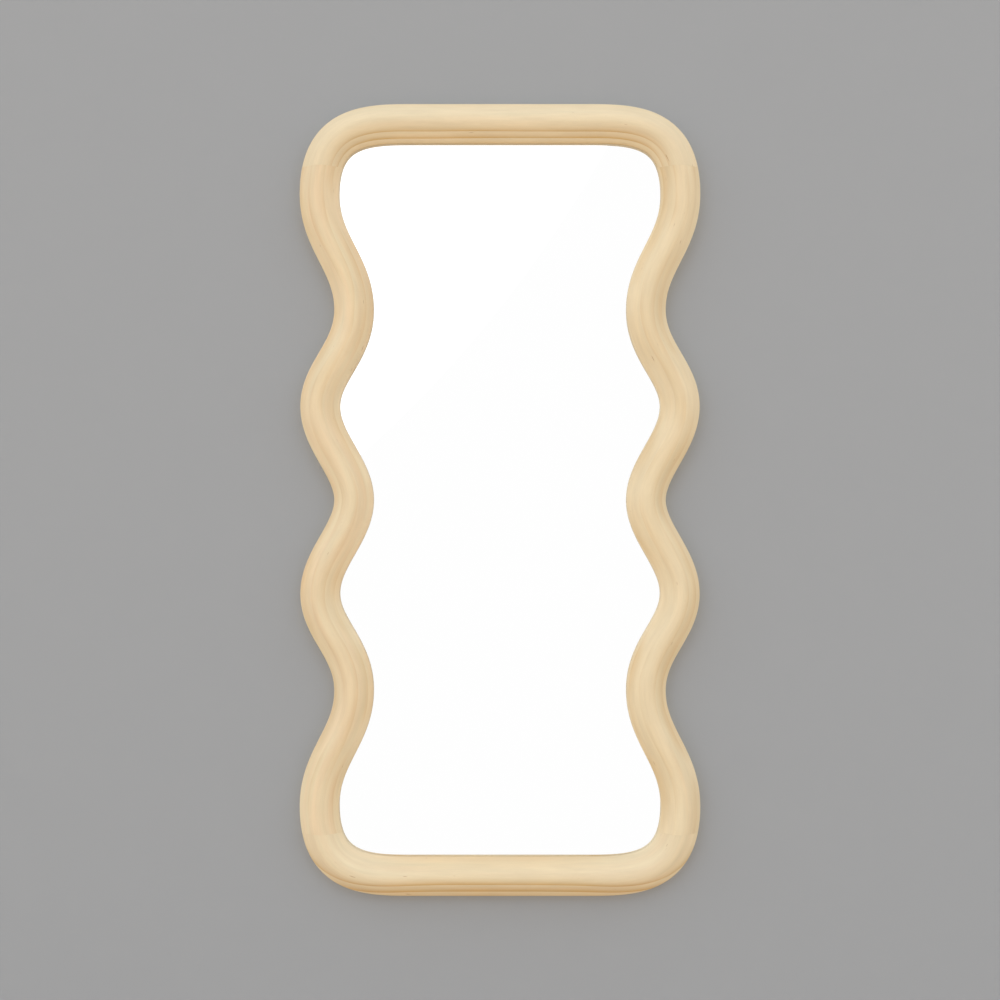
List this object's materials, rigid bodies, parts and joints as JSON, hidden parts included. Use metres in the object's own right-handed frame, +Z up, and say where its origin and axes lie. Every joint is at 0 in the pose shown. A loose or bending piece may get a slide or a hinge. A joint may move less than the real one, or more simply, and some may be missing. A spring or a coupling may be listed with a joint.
{
  "type": "wall mirror",
  "caption": "Full-length wall mirror in a wavy pine frame with a rounded moulding, hung by swinging rings; turn buttons hold its backing board.",
  "frame": {"origin": "on the wall plane, straight behind the middle of the glass", "axes": "+Z up, +Y into the wall, +X to the right as seen from the front; the glass faces -Y"},
  "size_m": [0.759, 0.046, 1.5],
  "materials": {
    "pine": "planed, sanded and matt-lacquered solid pine; growth rings follow the rounded section like contour lines",
    "beech": "raw beech dowel, inside the joints",
    "silvered_glass": "float glass, silvered behind, with a ground edge",
    "hardboard": "brown hardboard, smooth side out",
    "rubber": "matt black rubber",
    "zinc_plated_steel": "bright zinc plating"
  },
  "bodies": {
    "frame": {"backing_board": "hardboard", "bottom_rail": "pine", "dowel_bottom_left_inner": "beech", "dowel_bottom_left_outer": "beech", "dowel_bottom_right_inner": "beech", "dowel_bottom_right_outer": "beech", "dowel_top_left_inner": "beech", "dowel_top_left_outer": "beech", "dowel_top_right_inner": "beech", "dowel_top_right_outer": "beech", "hanger_screw_left_lower": "zinc_plated_steel", "hanger_screw_left_upper": "zinc_plated_steel", "hanger_screw_right_lower": "zinc_plated_steel", "hanger_screw_right_upper": "zinc_plated_steel", "hanger_strap_left": "zinc_plated_steel", "hanger_strap_right": "zinc_plated_steel", "left_stile": "pine", "mirror_glass": "silvered_glass", "right_stile": "pine", "setting_block_left": "rubber", "setting_block_right": "rubber", "top_rail": "pine", "turn_button_screw_bottom": "zinc_plated_steel", "turn_button_screw_left_1": "zinc_plated_steel", "turn_button_screw_left_2": "zinc_plated_steel", "turn_button_screw_left_3": "zinc_plated_steel", "turn_button_screw_left_4": "zinc_plated_steel", "turn_button_screw_right_1": "zinc_plated_steel", "turn_button_screw_right_2": "zinc_plated_steel", "turn_button_screw_right_3": "zinc_plated_steel", "turn_button_screw_right_4": "zinc_plated_steel", "turn_button_screw_top": "zinc_plated_steel", "wall_bumper_bottom_left": "rubber", "wall_bumper_bottom_right": "rubber", "wall_bumper_top_left": "rubber", "wall_bumper_top_right": "rubber"},
    "ring_left": {"hanger_ring_left": "zinc_plated_steel"},
    "ring_right": {"hanger_ring_right": "zinc_plated_steel"},
    "button_top": {"turn_button_top": "zinc_plated_steel"},
    "button_bottom": {"turn_button_bottom": "zinc_plated_steel"},
    "button_left_1": {"turn_button_left_1": "zinc_plated_steel"},
    "button_left_2": {"turn_button_left_2": "zinc_plated_steel"},
    "button_left_3": {"turn_button_left_3": "zinc_plated_steel"},
    "button_left_4": {"turn_button_left_4": "zinc_plated_steel"},
    "button_right_1": {"turn_button_right_1": "zinc_plated_steel"},
    "button_right_2": {"turn_button_right_2": "zinc_plated_steel"},
    "button_right_3": {"turn_button_right_3": "zinc_plated_steel"},
    "button_right_4": {"turn_button_right_4": "zinc_plated_steel"}
  },
  "joints": [
    {"name": "ring_swing_left", "type": "hinge", "parent": "frame", "child": "ring_left", "pos_m": [-0.29561, -0.00315, 0.44], "axis": [-1, 0, 0], "range_deg": [0, 175]},
    {"name": "ring_swing_right", "type": "hinge", "parent": "frame", "child": "ring_right", "pos_m": [0.29561, -0.00315, 0.44], "axis": [-1, 0, 0], "range_deg": [0, 175]},
    {"name": "button_turn_top", "type": "hinge", "parent": "frame", "child": "button_top", "pos_m": [0, -0.0051, 0.698], "axis": [0, 1, 0], "continuous": true},
    {"name": "button_turn_bottom", "type": "hinge", "parent": "frame", "child": "button_bottom", "pos_m": [0, -0.0051, -0.698], "axis": [0, 1, 0], "continuous": true},
    {"name": "button_turn_left_1", "type": "hinge", "parent": "frame", "child": "button_left_1", "pos_m": [-0.3275, -0.0051, 0.58], "axis": [0, 1, 0], "continuous": true},
    {"name": "button_turn_left_2", "type": "hinge", "parent": "frame", "child": "button_left_2", "pos_m": [-0.3263, -0.0051, 0.1775], "axis": [0, 1, 0], "continuous": true},
    {"name": "button_turn_left_3", "type": "hinge", "parent": "frame", "child": "button_left_3", "pos_m": [-0.3263, -0.0051, -0.1775], "axis": [0, 1, 0], "continuous": true},
    {"name": "button_turn_left_4", "type": "hinge", "parent": "frame", "child": "button_left_4", "pos_m": [-0.3275, -0.0051, -0.58], "axis": [0, 1, 0], "continuous": true},
    {"name": "button_turn_right_1", "type": "hinge", "parent": "frame", "child": "button_right_1", "pos_m": [0.3275, -0.0051, 0.58], "axis": [0, 1, 0], "continuous": true},
    {"name": "button_turn_right_2", "type": "hinge", "parent": "frame", "child": "button_right_2", "pos_m": [0.3263, -0.0051, 0.1775], "axis": [0, 1, 0], "continuous": true},
    {"name": "button_turn_right_3", "type": "hinge", "parent": "frame", "child": "button_right_3", "pos_m": [0.3263, -0.0051, -0.1775], "axis": [0, 1, 0], "continuous": true},
    {"name": "button_turn_right_4", "type": "hinge", "parent": "frame", "child": "button_right_4", "pos_m": [0.3275, -0.0051, -0.58], "axis": [0, 1, 0], "continuous": true}
  ]
}
